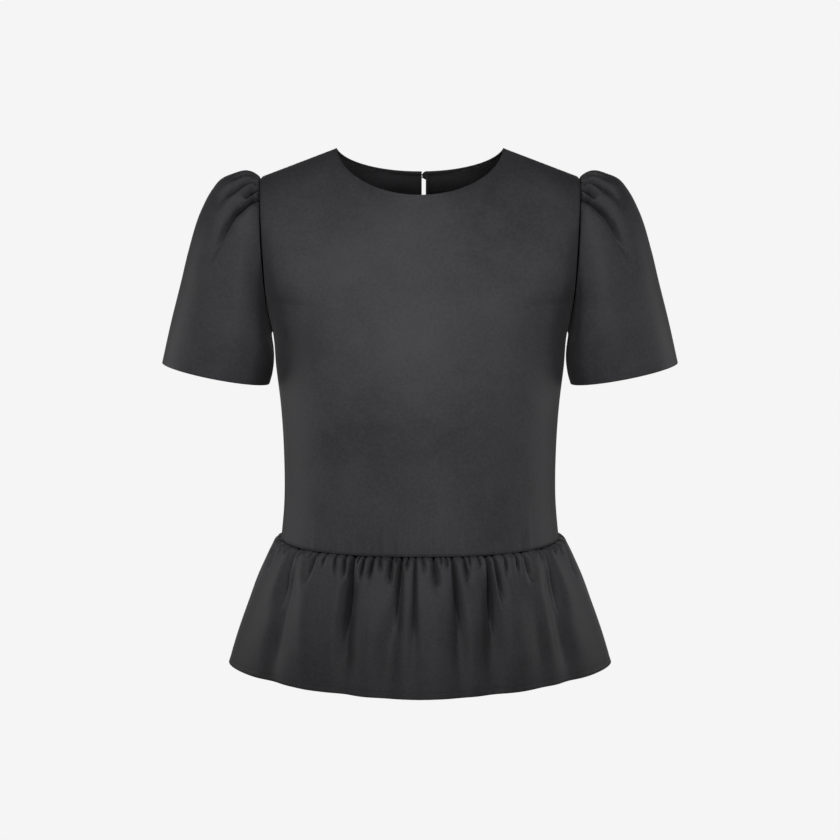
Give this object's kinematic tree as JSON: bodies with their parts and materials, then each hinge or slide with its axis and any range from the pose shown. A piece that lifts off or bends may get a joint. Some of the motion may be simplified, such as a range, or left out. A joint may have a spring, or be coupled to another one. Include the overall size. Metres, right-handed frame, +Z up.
{
  "type": "silk blouse",
  "caption": "Short-sleeved silk blouse with a round neck, gathered sleeve heads and a gathered peplum.",
  "frame": {"origin": "midpoint between the two high shoulder points, where the shoulder seams meet the neck", "axes": "+Z up, +X towards the wearer's left sleeve, the front faces -Y"},
  "size_m": [0.5542, 0.3195, 0.5626],
  "materials": {
    "silk": "matt satin, washed silk",
    "covered_button": "silk-covered, satin",
    "silk_cord": "matt cord"
  },
  "bodies": {
    "root": {"bodice_front": "silk", "bodice_back": "silk", "sleeve_left": "silk", "sleeve_right": "silk", "peplum_front": "silk", "peplum_back": "silk", "neck_button": "covered_button", "button_loop": "silk_cord"}
  },
  "joints": []
}
